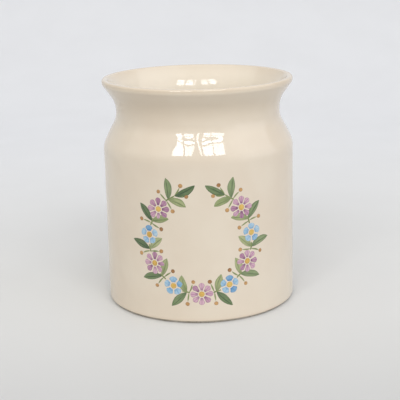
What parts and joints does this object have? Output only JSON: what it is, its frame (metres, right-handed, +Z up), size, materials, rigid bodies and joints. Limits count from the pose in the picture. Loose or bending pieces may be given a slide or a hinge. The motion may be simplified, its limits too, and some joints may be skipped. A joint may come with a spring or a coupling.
{
  "type": "ceramic vase",
  "caption": "Small round jar vase with a straight wall, rounded shoulder, drawn-in neck and flared lip, glazed cream inside and out, with a painted flower wreath on the front.",
  "frame": {"origin": "middle of the foot, on the surface that the vase stands on", "axes": "+Z up along the vase's axis, the painted front faces -Y, +X to the right seen from the front"},
  "size_m": [0.11, 0.1101, 0.1302],
  "materials": {
    "bare_clay": "matt unglazed clay",
    "cream_glaze": "glossy cream glaze",
    "stem_olive": "fired enamel, glossy",
    "leaf_green": "fired enamel, glossy",
    "leaf_light_green": "fired enamel, glossy",
    "berry_brown": "fired enamel, glossy",
    "petal_blue": "fired enamel, glossy",
    "petal_mauve": "fired enamel, glossy",
    "eye_ochre": "fired enamel, glossy"
  },
  "bodies": {
    "root": {"clay_body": "bare_clay", "glaze_coat": "cream_glaze", "recess_glaze": "cream_glaze", "painted_stems": "stem_olive", "painted_dark_leaves": "leaf_green", "painted_light_leaves": "leaf_light_green", "painted_berries": "berry_brown", "painted_blue_petals": "petal_blue", "painted_mauve_petals": "petal_mauve", "painted_flower_eyes": "eye_ochre"}
  },
  "joints": []
}
